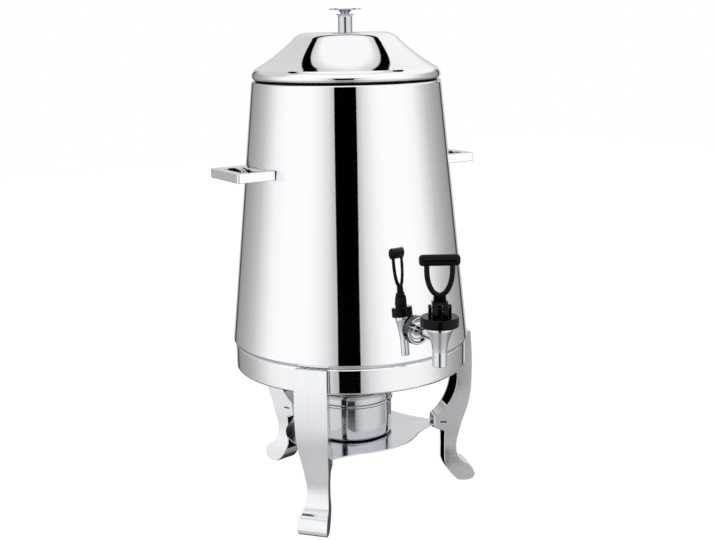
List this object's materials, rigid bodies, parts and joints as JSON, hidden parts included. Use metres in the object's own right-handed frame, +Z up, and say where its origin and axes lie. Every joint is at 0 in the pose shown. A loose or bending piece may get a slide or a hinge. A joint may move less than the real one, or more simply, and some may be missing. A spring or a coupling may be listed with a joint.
{
  "type": "coffee urn",
  "caption": "Tapered polished steel coffee urn with lift-off lid, carrying loops and self-closing tap, on a three-legged stand with a slide-out fuel burner cup.",
  "frame": {"origin": "on the urn's axis, on the surface that the three feet stand on", "axes": "+Z up along the urn's axis, the tap towards -Y, the carrying handles along +X and -X"},
  "size_m": [0.2986, 0.3298, 0.5401],
  "materials": {
    "polished_steel": "mirror polished stainless steel",
    "bright_steel": "bright pressed stainless steel, fine draw marks",
    "satin_steel": "satin to bright pressed steel",
    "tap_chrome": "chrome plated brass casting",
    "black_plastic": "glossy black moulding",
    "soft_seal": "matte silicone rubber",
    "fastener_steel": "plain turned steel"
  },
  "bodies": {
    "stand": {"stand_ring": "polished_steel", "leg_front_left": "satin_steel", "leg_front_right": "satin_steel", "leg_back": "satin_steel", "leg_screws": "fastener_steel", "shelf_plate": "satin_steel", "shelf_screws": "fastener_steel", "shelf_nuts": "fastener_steel"},
    "urn": {"urn_shell": "polished_steel", "urn_base": "bright_steel", "mouth_ring": "polished_steel", "handle_right": "polished_steel", "handle_left": "polished_steel", "handle_screws": "fastener_steel", "handle_seals": "soft_seal", "tap_flange": "tap_chrome", "tap_outer_gasket": "soft_seal", "tap_inner_gasket": "soft_seal", "tap_lock_nut": "fastener_steel", "tap_shank": "tap_chrome", "tap_body": "tap_chrome", "tap_collar": "black_plastic", "valve_spring": "fastener_steel"},
    "burner": {"burner_cup": "bright_steel"},
    "valve": {"valve_rod": "fastener_steel", "seat_cup": "soft_seal"},
    "tap_lever": {"tap_handle": "black_plastic", "tap_pin": "fastener_steel"},
    "lid": {"lid_shell": "polished_steel", "lid_skirt": "polished_steel", "knob_stem": "polished_steel", "knob_cap": "polished_steel", "knob_washer": "soft_seal", "knob_screw": "fastener_steel"}
  },
  "joints": [
    {"name": "urn_lift", "type": "slide", "parent": "stand", "child": "urn", "axis": [0, 0, 1], "range_m": [0, 0.1]},
    {"name": "lid_lift", "type": "slide", "parent": "urn", "child": "lid", "axis": [0, 0, 1], "range_m": [0, 0.12]},
    {"name": "burner_slide", "type": "slide", "parent": "stand", "child": "burner", "axis": [0.1736, -0.9848, 0], "range_m": [0, 0.18]},
    {"name": "valve_lift", "type": "slide", "parent": "urn", "child": "valve", "axis": [0, 0, 1], "range_m": [0, 0.0028], "deforming": ["valve_spring"]},
    {"name": "tap_handle_tilt", "type": "hinge", "parent": "valve", "child": "tap_lever", "pos_m": [0, -0.1675, 0.2465], "axis": [0.8572, -0.515, 0], "range_deg": [0, 40], "stiffness_Nm_per_rad": 0.05, "springref_deg": -28.65}
  ],
  "couplings": [
    {"joint": "valve_lift", "follows": "tap_handle_tilt", "m_per_rad": 0.004}
  ]
}
